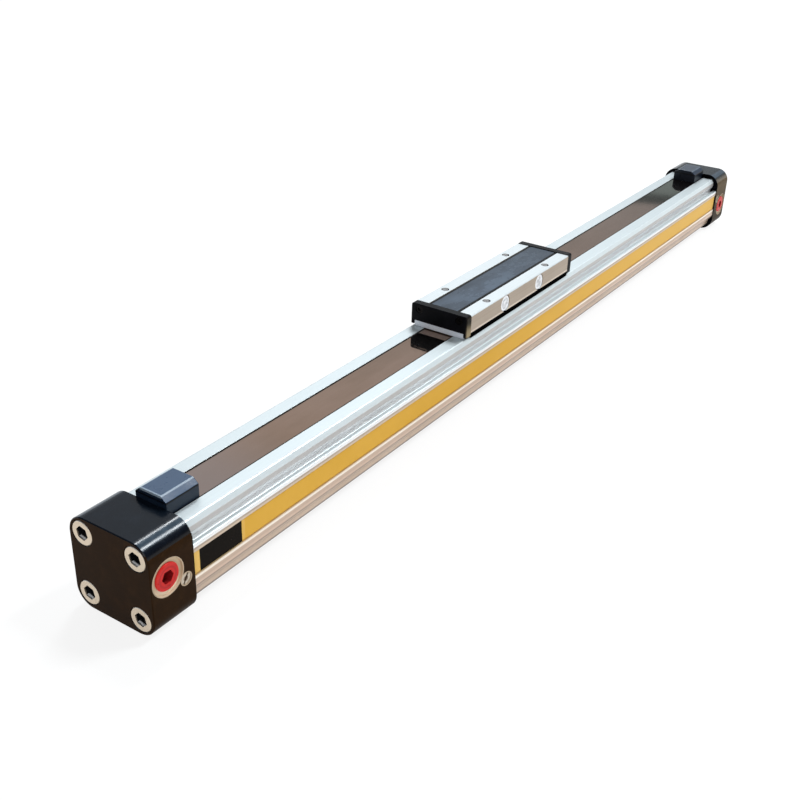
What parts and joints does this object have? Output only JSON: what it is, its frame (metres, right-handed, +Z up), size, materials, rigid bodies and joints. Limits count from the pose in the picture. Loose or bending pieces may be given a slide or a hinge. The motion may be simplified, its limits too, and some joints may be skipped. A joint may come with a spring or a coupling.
{
  "type": "rodless pneumatic cylinder",
  "caption": "Rodless pneumatic cylinder: slotted aluminium barrel sealed by a steel band, black end caps with side air ports, and a low carriage that slides along the top.",
  "frame": {"origin": "centre of the bounding box, at the underside of the end caps", "axes": "+X along the stroke, the air ports face -Y, +Z up out of the carriage's mounting face"},
  "size_m": [0.6, 0.041, 0.0504],
  "materials": {
    "anodised": "natural anodised, satin",
    "plain_aluminium": "machined",
    "band_steel": "rolled stainless strip",
    "screw_steel": "zinc plated",
    "black_screw": "black oxide",
    "cap_black": "black anodised die casting",
    "cover_plastic": "moulded, fine grain",
    "slide_plastic": "moulded",
    "strip_grey": "smooth, blue grey",
    "wiper_plastic": "moulded, pale grey",
    "piston_plastic": "moulded",
    "seal_rubber": "matt",
    "magnet": "plastic bonded magnet",
    "needle_brass": "turned",
    "plug_red": "moulded",
    "label": "printed strip, bare"
  },
  "bodies": {
    "cylinder": {"barrel": "anodised", "magnet_strips": "magnet", "outer_band": "band_steel", "inner_band": "band_steel", "label_strip": "label", "left_end_cap": "cap_black", "left_cap_screws": "screw_steel", "left_cap_seal": "seal_rubber", "left_cushion_tube": "plain_aluminium", "left_port_plug": "plug_red", "left_band_clamp": "screw_steel", "left_clamp_screws": "screw_steel", "left_band_cover": "cover_plastic", "right_end_cap": "cap_black", "right_cap_screws": "screw_steel", "right_cap_seal": "seal_rubber", "right_cushion_tube": "plain_aluminium", "right_port_plug": "plug_red", "right_band_clamp": "screw_steel", "right_clamp_screws": "screw_steel", "right_band_cover": "cover_plastic"},
    "carriage": {"piston_yoke": "plain_aluminium", "carriage_body": "anodised", "yoke_screws": "screw_steel", "carriage_cover": "strip_grey", "side_pins": "screw_steel", "front_slide_strip": "slide_plastic", "rear_slide_strip": "slide_plastic", "left_piston_head": "piston_plastic", "left_piston_seal": "seal_rubber", "left_wear_ring": "slide_plastic", "left_magnet_ring": "magnet", "left_cushion_seal": "seal_rubber", "left_piston_bolt": "screw_steel", "left_end_plate": "cover_plastic", "left_plate_screws": "black_screw", "left_wiper": "wiper_plastic", "right_piston_head": "piston_plastic", "right_piston_seal": "seal_rubber", "right_wear_ring": "slide_plastic", "right_magnet_ring": "magnet", "right_cushion_seal": "seal_rubber", "right_piston_bolt": "screw_steel", "right_end_plate": "cover_plastic", "right_plate_screws": "black_screw", "right_wiper": "wiper_plastic"},
    "left_needle": {"left_cushion_needle": "needle_brass"},
    "right_needle": {"right_cushion_needle": "needle_brass"}
  },
  "joints": [
    {"name": "carriage_slide", "type": "slide", "parent": "cylinder", "child": "carriage", "axis": [1, 0, 0], "range_m": [-0.18, 0.22], "deforming": ["outer_band", "inner_band"]},
    {"name": "left_needle_turn", "type": "hinge", "parent": "cylinder", "child": "left_needle", "pos_m": [-0.2826, -0.0202, 0.01825], "axis": [0, -1, 0], "range_deg": [-360, 720]},
    {"name": "right_needle_turn", "type": "hinge", "parent": "cylinder", "child": "right_needle", "pos_m": [0.2826, -0.0202, 0.02275], "axis": [0, -1, 0], "range_deg": [-360, 720]}
  ]
}
